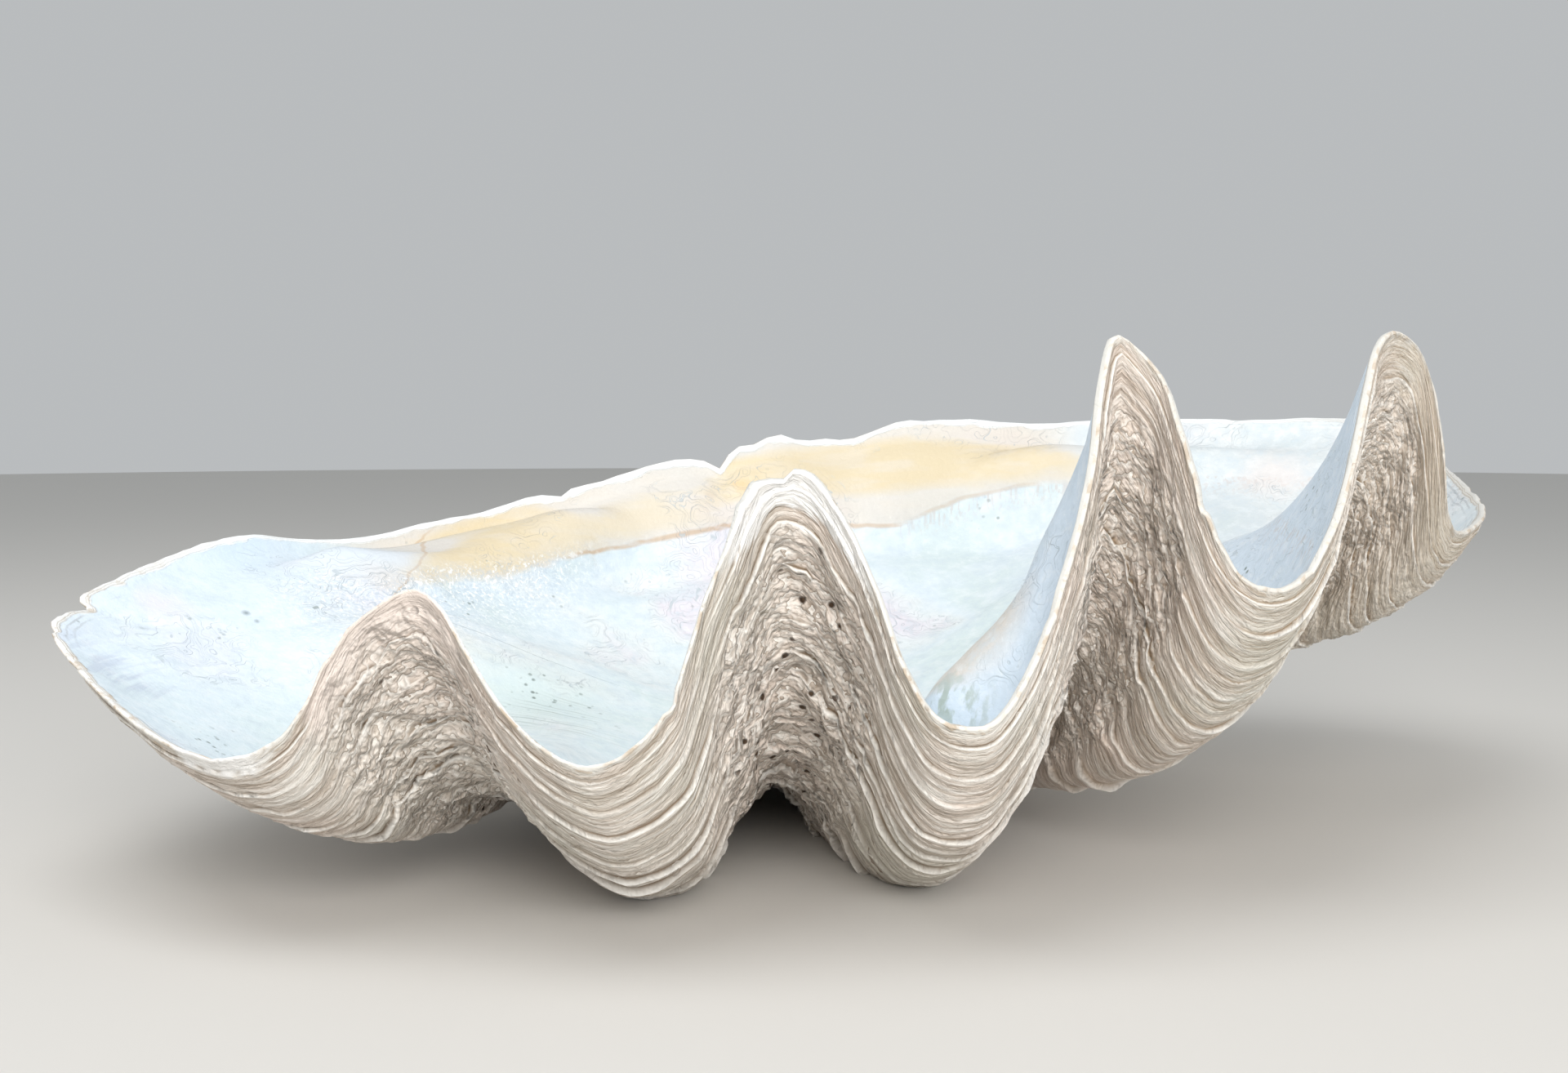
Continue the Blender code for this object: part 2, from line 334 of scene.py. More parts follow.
# %% The layers, from the rim to the beak
FIRST_LAYER = 2.8               # width of the youngest layer
GROWING = 1.05                  # each older layer is this much wider
UNEVEN = 0.5                    # share by which a width may differ
EDGE_WIDTH = 0.45               # the edge itself, from its foot to its top
LAYER_STEP = (0.10, 1.1)  # a thin layer's edge: share of its width, and the most
LEDGE_STEP = (0.34, 2.9)  # a ledge's edge: share of a layer's width, and the most
LEDGE_FIRST = 0.8               # height of the youngest ledge
chance = np.random.default_rng(11)
front_length = float(np.percentile(way[-1], 80))

layer_rows = []  # distance from the rim, height there
ledges = []  # row of its foot, height
distance = 0.0
width = FIRST_LAYER
until_ledge = 3
while distance < front_length - 2 * width:
    this = width * (1 + UNEVEN * chance.uniform(-1, 1))
    step = min(LAYER_STEP[0] * this, LAYER_STEP[1]) * chance.uniform(0.3, 1.6)
    if until_ledge == 0:
        high = min(LEDGE_FIRST + LEDGE_STEP[0] * width - 1, LEDGE_STEP[1])
        ledges.append((len(layer_rows), high * chance.uniform(0.75, 1.2)))
        until_ledge = int(chance.integers(2, 6))
    until_ledge -= 1
    layer_rows.append((distance, 0.0))
    layer_rows.append((distance + EDGE_WIDTH, step))
    layer_rows.append((distance + 0.5 * this, 0.45 * step))
    distance += this
    width *= GROWING
layer_rows.append((0.5 * (distance + front_length), 0.0))
row_way, row_step = np.array(layer_rows).T
print("outer rows:", len(row_way), "ledges, mm:", [round(step, 1) for _, step in ledges])


# %% Straight rows
def read_columns(values, places):
    """Each column's values at its own distances from the rim."""
    return np.stack([np.stack([np.interp(places[:, i], way[:, i], values[:, i, axis])
                               for axis in range(3)], axis=1) for i in range(AROUND)], axis=1)


share = way[-1] / front_length
straight = row_way[:, None] * share[None, :]
first_look = read_columns(smooth_outside, straight)
print("rows by columns:", first_look.shape[:2])


# %% Where the outside is rough
FOLD_FULL = 60                  # mm that the rim stands over the plain outline in a whole groove
WORN_PEAK = (-262, 30)  # a peak worn rough up to the rim: place along the hinge, width
in_front = ease(-rim_line[:, 1], 300, 400)
left_end = ease(-rim_line[:, 0], 285, 330) * in_front


def near(middle, half):
    """1 at this place along the front of the rim, falling to about a third at half the width."""
    return np.exp(-((rim_line[:, 0] - middle) / half) ** 2) * in_front


worn_peak = near(*WORN_PEAK) * ease(rim_line[:, 2], 85, 105)
fold = np.clip((rim_line - plain_line)[:, 2] / FOLD_FULL, -1, 1)
groove = ease(fold, -0.15, 0.4)[None, :] * ease(straight, 12, 38)
old = ease(straight, 150, 320)
right_end = ease(first_look[..., 0], 185, 250) * ease(-first_look[..., 1], 150, 300)
wild = groove + 0.6 * old + 0.4 * right_end * ease(straight, 14, 45)
wild += worn_peak * ease(straight, 1, 10) + 0.35 * left_end * ease(straight, 6, 25)
wild = np.clip(wild, 0, 1)
print("rough part of the rows:", round(float(wild.mean()), 2))

# %% Rows that follow the layers
WHOLE_BENDS = [(2.2, 48, 1), (1.0, 17, 2)]  # mm, width of the bends, seed
ROUGH_BENDS = [(6, 19, 3), (3, 9, 4)]
OLDER_BENDS = 1.3               # share added to the bends on older shell
LEAST_GAP = 0.15                # mm that each row keeps from the one before it
bend = bump_sum(first_look, WHOLE_BENDS) * (1 + OLDER_BENDS * ease(straight, 35, 150))
bend += 0.7 * bumps(first_look, 8, 31) * ease(straight, 10, 60)
bend += wild * bump_sum(first_look, ROUGH_BENDS)
bent = straight + bend * ease(straight, 0, 10) * np.clip(share, 0.1, 1)
for row in range(1, len(bent)):
    bent[row] = np.maximum(bent[row], bent[row - 1] + LEAST_GAP * share)
from_rim = np.minimum(bent, way[-1] - 0.5 * share)
outside = read_columns(smooth_outside, from_rim)
print("rows bend by up to, mm:", round(float(np.abs(from_rim - straight).max()), 1))

# %% [markdown]
# ## Weather on the outside
# Along the ribs the layers stay whole. In the grooves and on the oldest parts they broke into
# flakes and knobs and were bored by small animals. Noise that is long along the layers and
# short across them makes the flakes, and a second one lets each edge come and go.

# %% Ledges that come and go
LEDGE_PATCH = 55                # length over which a ledge comes and goes


def ledge_heights():
    """Heights of all ledges over the rows, and how strong each one's foot and edge are."""
    height, at_foot, at_edge = (np.zeros(outside.shape[:2]) for _ in range(3))
    ends = [row for row, _ in ledges[1:]] + [len(row_way) - 1]
    for k, ((foot, step), end) in enumerate(zip(ledges, ends)):
        here = np.clip(0.8 + 1.3 * bumps(outside[foot], LEDGE_PATCH, 30 + k)
                       + (0.5 + 0.9 * wild[foot]) * bumps(outside[foot], 12, 60 + k), 0.05, 1.6)
        left = (row_way[end] - row_way[foot + 1:end + 1]) / (row_way[end] - row_way[foot + 1])
        height[foot + 1:end + 1] += step * left[:, None] ** 1.4 * here
        at_foot[foot] = here
        at_edge[foot + 1] = here
    return height, at_foot, at_edge


ledge_relief, ledge_foot, ledge_edge = ledge_heights()
print("highest ledge, mm:", round(float(ledge_relief.max()), 1))

# %% Heights over the smooth surface
FLAKE_LONG = 12                 # mm along the layers
FLAKE_SHORT = 7                 # mm across them
FLAKE_HEIGHT = 2.6              # in the rough parts
KNOB_HEIGHT = 2.6
WHOLE_FLAKES = 0.35             # height of the flakes on whole shell
KNOBS = [(1.0, 21, 9), (0.5, 8, 10)]  # share, width, seed
SUNK = 0.9                      # mm taken off all over, so that the layers don't make it thicker
swing = bumps(outside, 26, 5) + 0.6 * bumps(outside, 9, 6) * (0.4 + wild)
strength = np.clip(0.85 + 0.9 * swing, 0.05, 2.0)
flakes_at = outside / FLAKE_LONG
flakes_at[..., 2] += from_rim / FLAKE_SHORT
flakes = 1 - 2.2 * np.abs(bumps(flakes_at, 1, 7)) - 1.1 * np.abs(bumps(2.1 * flakes_at, 1, 8))
knobs = bump_sum(outside, KNOBS)
relief = row_step[:, None] * strength * (1 - 0.4 * wild) + ledge_relief * (1 - 0.55 * wild)
relief += wild * (FLAKE_HEIGHT * flakes + KNOB_HEIGHT * knobs)
relief += WHOLE_FLAKES * flakes * (1 - wild)
near_lip = ease(from_rim, 0, 4)
relief *= near_lip * np.clip(share, 0.12, 1)
outside_shape = outside - inward(outside) * (relief - SUNK * near_lip)[..., None]
print("relief, mm:", round(float(relief.min()), 1), "to", round(float(relief.max()), 1))

# %% [markdown]
# ## The hinge plate
# Along the back the two valves met on a thick plate. Its lower edge hangs over the wall of
# the bowl as a small shelf. The edge is a line of heights along the hinge, and everything
# above it stands forward by a few millimetres.

# %% The plate's lower edge and its overhang
PLATE_EDGE = [  # along the hinge, height
    (-262, 128), (-230, 119), (-182, 122), (-151, 121), (-128, 125), (-94, 132), (-61, 135),
    (-22, 141), (0, 145), (50, 146), (100, 143), (115, 144), (125, 149), (159, 161), (195, 169),
    (223, 172), (262, 178),
]
PLATE_STEP = 5.0                # how far the shelf stands forward
RIPPLE = [(0.8, 70, 12), (0.25, 18, 13)]  # mm, width and seed of the lining's waves
edge_x, edge_z = np.array(PLATE_EDGE, float).T


def above_plate_edge(points):
    """Millimetres above the plate's lower edge, and how far along the hinge it reaches."""
    height = points[..., 2] - np.interp(points[..., 0], edge_x, edge_z)
    ragged = 3 * bumps(points, 14, 11) * ease(-points[..., 0], 60, 160)
    ends = ease(points[..., 0], -268, -215) * ease(-points[..., 0], -262, -215)
    at_back = ease(points[..., 1], -150, -115)
    return height + ragged, ends * at_back


plate, plate_share = above_plate_edge(inside)
from_lip = np.arange(len(inside))[:, None]  # rows, counted from the lip
shelf = PLATE_STEP * ease(plate, -2.0, 1.5) * plate_share
shelf *= ease(from_lip, 1, 5)
ripple = bump_sum(inside, RIPPLE) * ease(from_lip, 0, 6)
inside_shape = inside + inward(inside) * (shelf + ripple)[..., None]
print("plate edge stands forward, mm:", round(float(shelf.max()), 1))

# %% The ridge inside the third fold
RIDGE = [  # place along the hinge at the rim, half the width, way it swells
    (5, 30, (-22, 0, 26)), (-14, 18, (-14, 0, 14)),
]
inner_way = way_along(inside)
along_ridge = ease(inner_way, 20, 90) * ease(-inner_way, -230, -130)
ridges = [near(middle, half) * along_ridge for middle, half, _ in RIDGE]
for ridge, (_, _, swell) in zip(ridges, RIDGE):
    inside_shape += ridge[..., None] * np.array(swell, float)
print("points on the ridge:", int((ridges[0] > 0.5).sum()))

# %% The low wall at the left of the hinge
WALL_FALL = 0.12                # how fast the left wall falls from the rim, for WALL_REACH
WALL_REACH = 60
left_wall = ease(-rim_line[:, 0], 70, 140) * ease(rim_line[:, 1], -190, -120)
fall = WALL_FALL * np.minimum(inner_way, WALL_REACH)
above_line = inside_shape[..., 2] - inside[0, :, 2] + fall
above_line = 0.5 * (above_line + np.hypot(above_line, 4))
inside_shape[..., 2] -= above_line * left_wall * ease(inner_way, 0, 20)
print("left wall lowered by, mm:", round(float((above_line * left_wall).max()), 1))

# %% Where the plate is cream
CREAM = [  # along the hinge, lowest and highest height, strength
    (-225, 118, 128, 0.0), (-205, 120, 138, 0.7), (-175, 121, 152, 1.0), (-150, 121, 158, 1.0),
    (-120, 126, 162, 0.75), (-94, 132, 152, 0.7), (-50, 138, 164, 0.6), (-20, 143, 168, 0.4),
    (-8, 150, 178, 0.5), (10, 158, 189, 1.0), (60, 160, 197, 0.85), (100, 161, 198, 1.0),
    (134, 165, 203, 1.0), (184, 170, 198, 1.0), (225, 175, 192, 0.8), (262, 180, 186, 0.0),
]
cream_x, cream_low, cream_high, cream_strength = np.array(CREAM, float).T
low, high, strong = (np.interp(inside[..., 0], cream_x, values, left=values[0], right=values[-1])
                     for values in (cream_low, cream_high, cream_strength))
cream = ease(inside[..., 2], low - 6, low + 8) * ease(-inside[..., 2], -high - 5, -high + 6)
cream *= strong * ease(inside[..., 1], -150, -115)
print("cream points:", int((cream > 0.5).sum()))

# %% [markdown]
# ## The lip
# The rim itself is a thin chalky edge, chipped and worn. A few rows lead over it from the
# outside to the inside. Noise wears the edge down here and there, most on the peaks.

# %% How far the lip is worn
LIP_WEAR = [(0.9, 22, 23), (0.9, 9, 21), (0.6, 6, 22)]  # mm, width of the bumps, seed
CHIP_DEPTH = 3.5
BROKEN_PEAK = (-110, 17)  # the blunt, chipped peak: place along the hinge, width
TIP_SHAPE = [  # place along the hinge, half the width, mm that the lip stands out
    (-116, 6, 4.5), (-107, 5, -2.2), (-97, 5, 2.0), (-264, 9, -2.0), (-284, 10, -3.0),
]
broken = near(*BROKEN_PEAK) * ease(rim_line[:, 2], 150, 185)
worn = bump_sum(rim_line, LIP_WEAR) - CHIP_DEPTH * ease(bumps(rim_line, 16, 24), 0.25, 0.45)
worn += broken * (3.0 * np.abs(bumps(rim_line, 7, 26)) - 2.5)
worn *= 1 - 0.8 * ease(rim_line[:, 0], 130, 200)
worn += 1.1 * left_end * bumps(rim_line, 10, 27)
worn *= 1 - 0.8 * worn_peak
worn *= 1 - 0.7 * ease(-rim_line[:, 0], 100, 160) * ease(rim_line[:, 1], -260, -180)
for middle, half, rise in TIP_SHAPE:
    worn += rise * near(middle, half)
print("lip worn, mm:", round(float(worn.min()), 1), "to", round(float(worn.max()), 1))

# %% Rows over the lip
LIP_PROFILE = [  # way across the lip, height over its two edges in mm
    (0.06, 0.35), (0.22, 0.75), (0.48, 0.85), (0.74, 0.55), (0.92, 0.2),
]
LIP_THINNING = (0.38, 0.27)  # share of the rim's thickness worn off on each side: left, right
WEAR_FADE = 6                   # mm from the rim over which the wear dies out on the outside
THINNING_FADE = 9               # the same for the thinning
INNER_SHARES = (1.0, 0.45, 0.15)  # what is left of both on the first inner rows
upward = unit(outside[0] - smooth_outside[FINE_STEPS])
thin_share = np.interp(rim_line[:, 0], (-120, 0), LIP_THINNING) * (1 - 0.9 * broken)
thinning = (inside_shape[0] - outside_shape[0]) * thin_share[:, None]
outside_shape += upward * worn[:, None] * np.exp(-from_rim / WEAR_FADE)[..., None]
outside_shape += thinning * np.exp(-from_rim / THINNING_FADE)[..., None]
for row, part in enumerate(INNER_SHARES):
    inside_shape[row] += upward * (part * worn)[:, None] - part * thinning
nibbles = 0.9 * bumps(rim_line, 6, 25)
lip = np.array([outside_shape[0] * (1 - across) + inside_shape[0] * across
                + upward * (lift * (0.9 + nibbles))[:, None]
                for across, lift in LIP_PROFILE])
print("lip rows:", len(lip))

# %% How wide the chalky edge is
CHALK_WIDTH = 2.4               # mm down the outside of the lip
CHALK_BUMPS = [(2.2, 14, 28), (1.5, 6, 29)]  # mm, width of the bumps, seed
WIDER_ON = [(-90, 12, 7), (-122, 8, 4)]  # flanks of the chipped peak: place, half width, mm
chalk = CHALK_WIDTH + bump_sum(rim_line, CHALK_BUMPS)
chalk += 12 * broken - 7 * worn_peak + 7 * in_front * ease(-rim_line[:, 0], 285, 315)
for middle, half, wider in WIDER_ON:
    chalk += wider * near(middle, half)
print("chalky edge, mm:", round(float(chalk.min())), "to", round(float(chalk.max())))

# %% [markdown]
# ## One closed skin
# All rows together, from the beak over the lip to the bowl, make one mesh. Numbers that the
# finishes need, such as the distance from the rim, go along as attributes on its points.

# %% Build the mesh
rings = np.concatenate([outside_shape[::-1], lip, inside_shape])
rings[..., 2] = np.clip(rings[..., 2], 0, None)  # nothing lies below the ground
ring_count = len(rings)


def skin_faces():
    faces = []
    for i in range(AROUND):
        j = (i + 1) % AROUND
        faces.append((0, 1 + j, 1 + i))
        for r in range(ring_count - 1):
            a, b = 1 + r * AROUND, 1 + (r + 1) * AROUND
            faces.append((a + j, b + j, b + i, a + i))
        last_ring = 1 + (ring_count - 1) * AROUND
        faces.append((last_ring + j, 1 + ring_count * AROUND, last_ring + i))
    return faces


def on_rings(outer_values, lip_value, inner_values):
    """One number for each point of the skin."""
    outer_rows, lip_rows, inner_rows = (
        np.broadcast_to(part, rows.shape[:2])
        for part, rows in ((outer_values, outside), (lip_value, lip), (inner_values, inside)))
    values = np.concatenate([outer_rows[::-1], lip_rows, inner_rows]).ravel()
    return np.concatenate([values[:1], values, values[-1:]])


points = np.vstack([BEAK, rings.reshape(-1, 3), BOWL]) - FRAME_SHIFT
mesh = bpy.data.meshes.new("clam_valve")
mesh.from_pydata((points / 1000).tolist(), [], skin_faces())
valve = bpy.data.objects.new("clam_valve", mesh)
bpy.context.scene.collection.objects.link(valve)
mesh.shade_smooth()
print("triangles:", sum(len(f.vertices) - 2 for f in mesh.polygons))

# %% Numbers for the finishes
THIN_MARKS = 0.3                # how strong a thin layer's foot and edge are beside a ledge's
is_foot = (row_step == 0).astype(float)[:, None]
is_edge = np.roll(is_foot, 1, axis=0)
calm = np.clip(strength, 0, 1.4) * near_lip * THIN_MARKS * (1 - 0.5 * wild)
young = ease(-row_way, -480, -330)[:, None]  # rows stand too far apart near the beak
# Dark marks at each layer's foot are dirt with painted shade, and pale marks on its edge are wear
# with a painted highlight.
foot_dirt_and_shade = np.maximum(is_foot * calm, ledge_foot * near_lip) * young
edge_wear_and_highlight = np.maximum(is_edge * calm, ledge_edge * near_lip) * young
# Steep walls of the lining's folds that face to the left: they get a bluish painted shade.
shape_normal = inward(inside_shape)
shaded_side_wall = ease(-shape_normal[..., 0], 0.15, 0.5) * ease(-inside[..., 1], 200, 300)
shaded_side_wall *= ease(-inside[..., 0], -330, -280)
crest = ridges[0] * ease(shape_normal[..., 2], 0.35, 0.7)
FIELDS = {  # on the outside, on the lip and on the inside
    "chalk": (chalk, chalk, chalk), "shaded_side_wall": (0, 0, shaded_side_wall), "cream": (0, 0, cream),
    "crest": (0, 0, crest), "from_rim": (from_rim, 0, -inner_way), "relief": (relief, 0.4, 0),
    "foot": (foot_dirt_and_shade, 0, 0), "edge": (edge_wear_and_highlight, 0, 0), "wild": (wild, 0, 0),
    "plate": (-99, 0, plate), "plate_share": (0, 0, plate_share),
}
for name, parts in FIELDS.items():
    values = on_rings(*parts)
    attribute = mesh.attributes.new(name, "FLOAT", "POINT")
    attribute.data.foreach_set("value", values.astype(np.float32))
    print(name, round(float(values.min()), 2), "to", round(float(values.max()), 2))

# %% [markdown]
# ## Finishes
# The shell is aragonite, a chalk-like mineral, all through. Outside it is dull and chalky,
# with dirt and painted shade in the recesses. Inside the animal laid it down as smooth as
# porcelain. Both finishes are node materials that read the attributes, so that the colours follow
# the layers.


# %% Helpers for colours and nodes
def srgb(text):
    """A colour written as #rrggbb, as linear values for the shader."""
    parts = [int(text[k:k + 2], 16) / 255 for k in (1, 3, 5)]
    return (*[c / 12.92 if c <= 0.04045 else ((c + 0.055) / 1.055) ** 2.4 for c in parts], 1)


def new_finish(name):
    """A material with only a shader and an output, its tree and its shader."""
    material = bpy.data.materials.new(name)
    material.use_nodes = True
    return material, material.node_tree, material.node_tree.nodes["Principled BSDF"]


def feed(node, inputs):
    """A node's inputs, each a value or another node's output."""
    for socket, value in inputs.items():
        if isinstance(value, bpy.types.NodeSocket):
            node.id_data.links.new(value, node.inputs[socket])
        else:
            node.inputs[socket].default_value = value


def add(kind, inputs=None, output=None, stops=(), **settings):
    """One node in the finish at hand, with its settings, inputs and the stops of its colour
    ramp. Gives the output of that name, or the first one in use."""
    node = tree.nodes.new("ShaderNode" + kind)
    for name, value in settings.items():
        setattr(node, name, value)
    feed(node, inputs or {})
    for _ in stops[2:]:
        node.color_ramp.elements.new(0.5)
    for number, (where, colour) in enumerate(stops):
        node.color_ramp.elements[number].position = where
        node.color_ramp.elements[number].color = srgb(colour)
    return node.outputs[output] if output else next(s for s in node.outputs if s.enabled)


# %% [markdown]
# ### Painting in layers
# A weathered surface is painted as a model maker would do it: a ground tone first, and then
# thin coats, each with a mask that says where it shows. A mask is a product of simple
# conditions, such as high enough, near the rim and rough.


# %% Masks, coats and heights
def mask(*parts, join="MULTIPLY"):
    """Where something shows. A part is a number, a pattern, or (pattern, start, end), which is
    0 at its start and 1 at its end. All must hold, or by MAXIMUM any one of them will do."""
    joined = None
    for part in parts:
        if isinstance(part, tuple):
            part = add("MapRange", dict(zip(("Value", "From Min", "From Max"), part)))
        joined = part if joined is None else add("Math", {0: joined, 1: part}, operation=join)
    return joined


def coat(below, colour, *parts):
    """A colour laid over another one where all the parts of a mask hold."""
    below, colour = (srgb(c) if isinstance(c, str) else c for c in (below, colour))
    return add("Mix", {"Factor": mask(*parts), "A": below, "B": colour}, data_type="RGBA")


def on_line(pattern, middle, far, near):
    """A line on the surface: 1 where the pattern is near its middle and 0 where it is far off."""
    off = add("Math", {0: pattern, 1: middle}, operation="SUBTRACT")
    return mask((add("Math", {0: off}, operation="ABSOLUTE"), far, near))


def sum_of(start, *pairs):
    """A start and patterns, each times its amount."""
    for pattern, amount in pairs:
        start = add("Math", {0: pattern, 1: amount, 2: start}, operation="MULTIPLY_ADD")
    return start


# %% [markdown]
# ### Weathered outer shell
# Chalky aragonite: a rough, dull surface with an IOR of about 1.53. The tone runs from warm
# beige to pinkish and grey in streaks along the layers. The layers' edges and the flakes' tops
# are rubbed pale and carry a painted highlight, and their feet, the flakes' undersides and the
# low places hold brown dirt with painted shade. Small bored holes are dark brown.

# %% Weathered outer shell: patterns
outer_finish, tree, shader = new_finish("weathered_outer_shell")
place = add("TexCoord", output="Object")
to_right = add("SeparateXYZ", {0: place})
rim_way, height, foot, edge, rough_part, chalk_width = (
    add("Attribute", output="Fac", attribute_name=name)
    for name in ("from_rim", "relief", "foot", "edge", "wild", "chalk"))


def torn(per_metre, across, detail, **inputs):
    """Noise that is long along the layers: its bumps per metre, and per mm across the layers."""
    shift = add("CombineXYZ", {2: mask(rim_way, across)})
    where = add("VectorMath", {0: place, 1: (per_metre,) * 3, 2: shift}, operation="MULTIPLY_ADD")
    return add("TexNoise", {"Vector": where, "Scale": 1.0, "Detail": detail, **inputs})


# Streaks are 40 mm long and 3 mm across, flakes 10 mm long and 2.5 mm across.
streaks = torn(25, 0.33, 5.0, Roughness=0.65)
flakes = torn(100, 0.4, 4.0, Roughness=0.55, Distortion=0.6)
clouds, grains, bends, crumple = (
    add("TexNoise", {"Vector": place, "Scale": scale, "Detail": detail, "Roughness": rough})
    for scale, detail, rough in (
        (13.0, 3.0, 0.5), (420.0, 3.0, 0.5), (140.0, 2.0, 0.5), (62.0, 3.0, 0.6)))
print("pattern nodes:", len(tree.nodes))


# %% Weathered outer shell: thin layers and broken scales
def saw_teeth(bends, bend, width):
    """Layers of this width in mm, bent by noise: 0 at the edge of each and 1 at its foot."""
    way = mask(sum_of(rim_way, (bends, bend)), 1 / width)
    return add("Math", {0: way}, operation="FRACT")


# Whole shell has thin layers, 1.7 mm wide. In the rough parts the same saw tooth, 5.5 mm wide,
# is bent so far that its lines close on themselves, as broken scales do.
thin_layers = saw_teeth(bends, 3.5, 1.7)
scales = saw_teeth(crumple, 34.0, 5.5)
whole_part = mask((rough_part, 1.0, 0.0))
# Bored holes are 2 to 4 mm wide and some 10 mm apart. They are in the rough parts only, and
# few are on the right half of the front.
cells = add("TexVoronoi", {"Vector": place, "Scale": 100.0})
hole = mask((cells, 0.19, 0.11), (clouds, 0.42, 0.5), rough_part, (to_right, 0.08, -0.04))
print("pattern nodes:", len(tree.nodes))

# %% Weathered outer shell: fine height in millimetres
layers = add("Mix", {"Factor": rough_part, "A": mask(thin_layers, -0.5), "B": mask(scales, -2.4)})
fine = sum_of(layers, (flakes, 2.2), (streaks, 1.4), (grains, 0.35), (hole, -1.6))
bump = add("Bump", {"Height": fine, "Distance": 0.001, "Strength": 1.0})
print("nodes with height:", len(tree.nodes))

# %% Weathered outer shell: ground tones
colour = add("ValToRGB", {"Fac": streaks},
             stops=((0.33, "#b5a99b"), (0.5, "#ddd4c9"), (0.64, "#f8f4ed")))
for tone, *parts in (
        ("#ead5c8", 0.6, (clouds, 0.46, 0.66)),         # pinkish clouds
        ("#d0cec0", 0.5, (clouds, 0.46, 0.34)),         # grey-green clouds
        ("#dbd0ba", 0.5, (to_right, 0.1, 0.26)),        # the right end is more yellow
        ("#fbf0e6", 0.55, rough_part)):                 # freshly broken shell is paler
    colour = coat(colour, tone, *parts)

# %% Weathered outer shell: dirt and painted shade, hairlines, and rubbed edges with painted highlights
# Brown dirt with painted shade: the colour darkens in the cracks, under the flakes, in the low
# places of the relief, at the layers' feet and along the hairlines.
cracks = mask(0.6, on_line(flakes, 0.52, 0.022, 0.006))
shade_under_flakes = mask(mask(0.75, (scales, 0.78, 0.98)), cracks, join="MAXIMUM")
shaded_recesses = mask(0.3, (height, -0.6, -3.0))
# Hairlines at the feet of the thin layers, which come and go along each layer.
hairlines = mask(0.95, (thin_layers, 0.72, 0.95), (streaks, 0.64, 0.44), whole_part)
dirt_and_shade = mask(mask(shade_under_flakes, rough_part), shaded_recesses, mask(0.8, foot), hairlines, join="MAXIMUM")
colour = coat(colour, coat("#84725e", "#a18c74", (to_right, -0.02, 0.06)), dirt_and_shade)
# Painted highlight: the tops of the flakes and the edges of the layers and ledges are lighter, as
# if lit from above, besides being rubbed pale.
lit_flake_tops = mask(0.8, (scales, 0.45, 0.0), rough_part)
highlight_lines = mask(0.5, (thin_layers, 0.35, 0.05), (streaks, 0.44, 0.58), whole_part)
colour = coat(colour, "#fbf8f2", mask(mask(0.7, edge), lit_flake_tops, highlight_lines, join="MAXIMUM"))
colour = coat(colour, "#574433", hole)

# %% Weathered outer shell: the chalky edge
# The worn peak has no white edge: its flank is a dull pinkish white up to the lip.
from_chalk = sum_of(rim_way, (chalk_width, -1.0), (flakes, -12.0))
colour = coat(colour, "#f1e4db", 0.85, (chalk_width, 1.0, -1.2), (from_chalk, 22.0, 6.0))
chalk_tone = coat("#e6e3dc", "#c9bba9", (flakes, 0.5, 0.62))
chalk_tone = coat(chalk_tone, "#fbfaf8", 0.9, (chalk_width, 5.0, 8.0))
chalk_tone = coat(chalk_tone, "#cfc7bc", 0.3, (to_right, -0.06, 0.06))
colour = coat(colour, chalk_tone, (from_chalk, -5.0, -7.5))
feed(shader, {"Base Color": colour, "Normal": bump, "Roughness": 0.85, "IOR": 1.53,
              "Specular IOR Level": 0.3})
print("weathered outer shell:", len(tree.nodes), "nodes")

# %% [markdown]
# ### Porcelain-like lining
# The same aragonite, laid down dense and smooth: white with faint cool and green tints, a
# satin gloss, and cream along the hinge plate. Small grey pits and scratches show age.

# %% Porcelain-like lining: tints
lining, tree, shader = new_finish("porcelain_like_lining")
place = add("TexCoord", output="Object")
to_right, to_back, up = add("SeparateXYZ", {0: place}).node.outputs
rim_way, plate_height, plate_part, cream_part, shaded_wall_part, chalk_width, crest_part = (
    add("Attribute", output="Fac", attribute_name=name)
    for name in ("from_rim", "plate", "plate_share", "cream", "shaded_side_wall", "chalk", "crest"))


def drawn_out(per_metre, detail):
    """Noise that is longer one way: its bumps per metre along each axis."""
    where = add("VectorMath", {0: place, 1: per_metre}, operation="MULTIPLY")
    return add("TexNoise", {"Vector": where, "Scale": 1.0, "Detail": detail})


# Clouds of faint tints, 60 to 100 mm wide, mottling of 8 mm, and wisps along the shell. The
# other noises bend lines and edges, choose places for pits, and make crystals and a fine grain.
soft, mottle, soft_edge, sway, pit_clouds, few, crystals, grain = (
    add("TexNoise", {"Vector": place, "Scale": scale, "Detail": detail, "Roughness": rough})
    for scale, detail, rough in (
        (11.0, 5.0, 0.5), (120.0, 5.0, 0.65), (60.0, 4.0, 0.5), (25.0, 3.0, 0.5),
        (22.0, 3.0, 0.5), (90.0, 2.0, 0.5), (430.0, 3.0, 0.5), (300.0, 3.0, 0.5)))
wisps = drawn_out((14, 45, 70), 5.0)
base = add("ValToRGB", {"Fac": soft}, stops=((0.36, "#d0dddf"), (0.46, "#d6e1e9"),
                                             (0.54, "#dde3e5"), (0.63, "#dedae1")))
